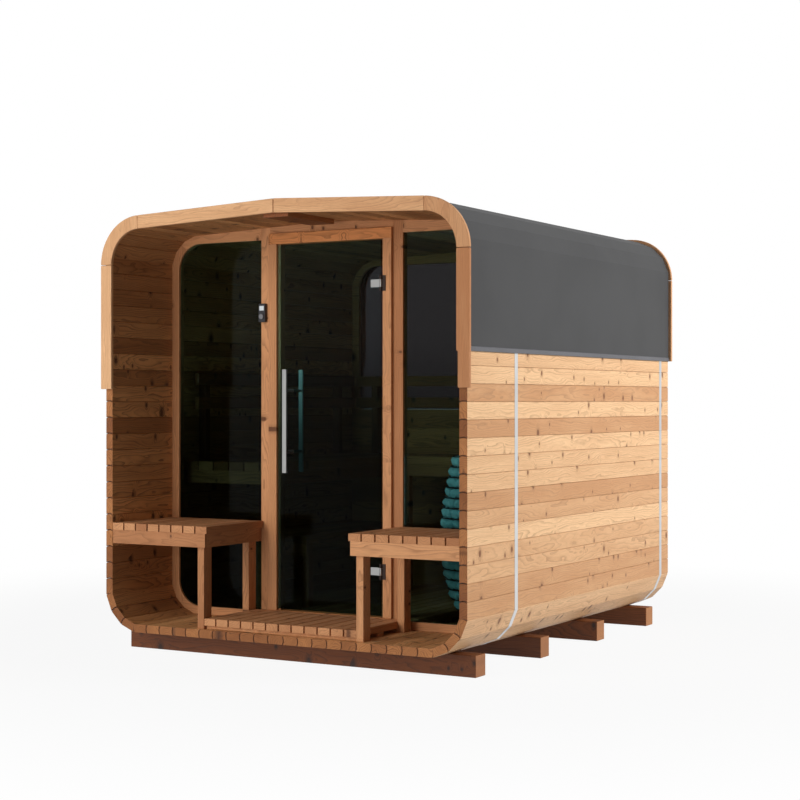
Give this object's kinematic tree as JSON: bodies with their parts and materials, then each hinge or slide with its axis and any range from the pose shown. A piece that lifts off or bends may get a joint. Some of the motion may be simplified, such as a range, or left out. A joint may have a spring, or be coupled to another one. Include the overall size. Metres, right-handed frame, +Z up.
{
  "type": "outdoor sauna cabin",
  "caption": "Rounded square sauna cabin of wooden staves on cross beams, with an open porch, benches, a glazed front with a hinged glass door, and a rear window.",
  "frame": {"origin": "middle of the footprint, on the ground under the cross beams", "axes": "+Z up, +Y from the porch to the rear, +X to the right as seen from the front"},
  "size_m": [2.1976, 2.598, 2.3215],
  "materials": {
    "wood": "knotty softwood, oiled, satin",
    "pale_wood": "knotty softwood, light, planed and oiled",
    "trim_wood": "softwood boards, planed, satin",
    "dark_wood": "softwood beams, sawn",
    "roof_sheet": "charcoal roofing membrane, matte",
    "drip_metal": "light grey folded metal",
    "strap_steel": "stainless band",
    "tinted_glass": "dark tinted toughened glass",
    "satin_steel": "satin stainless steel",
    "control_plastic": "black moulded plastic",
    "stove_steel": "dark heat-proof paint",
    "stove_stone": "rough dark stones"
  },
  "bodies": {
    "root": {"beam_front": "dark_wood", "beam_second": "dark_wood", "beam_third": "dark_wood", "beam_rear": "dark_wood", "floor_staves": "wood", "wall_left": "pale_wood", "wall_right": "pale_wood", "roof_left": "wood", "roof_right": "wood", "corner_floor_left": "pale_wood", "corner_floor_right": "pale_wood", "corner_roof_left": "wood", "corner_roof_right": "wood", "roof_cover": "roof_sheet", "drip_edges": "drip_metal", "straps": "strap_steel", "ridge_board": "dark_wood", "front_trim_left": "trim_wood", "front_trim_right": "trim_wood", "rear_trim_left": "trim_wood", "rear_trim_right": "trim_wood", "front_frame_left": "wood", "front_frame_right": "wood", "post_left": "wood", "post_right": "wood", "jamb_left": "wood", "jamb_right": "wood", "door_head": "wood", "transom": "wood", "door_sill": "wood", "glass_left": "tinted_glass", "glass_right": "tinted_glass", "hinge_leaves": "satin_steel", "control_unit": "control_plastic", "porch_bench_left": "wood", "porch_bench_right": "wood", "porch_duckboard": "wood", "rear_boards": "wood", "rear_frame": "wood", "rear_glass": "tinted_glass", "room_duckboard": "wood", "side_bench": "wood", "rear_bench": "wood", "step_bench": "wood", "backrest_side": "wood", "backrest_rear": "wood", "stove_cage": "stove_steel", "stove_stones": "stove_stone", "stove_base": "stove_steel"},
    "door": {"door_glass": "tinted_glass", "door_handle": "satin_steel", "hinge_clamps": "satin_steel"}
  },
  "joints": [
    {"name": "door_hinge", "type": "hinge", "parent": "root", "child": "door", "pos_m": [0.32, -0.793, 1.18], "axis": [0, 0, 1], "range_deg": [0, 95]}
  ]
}
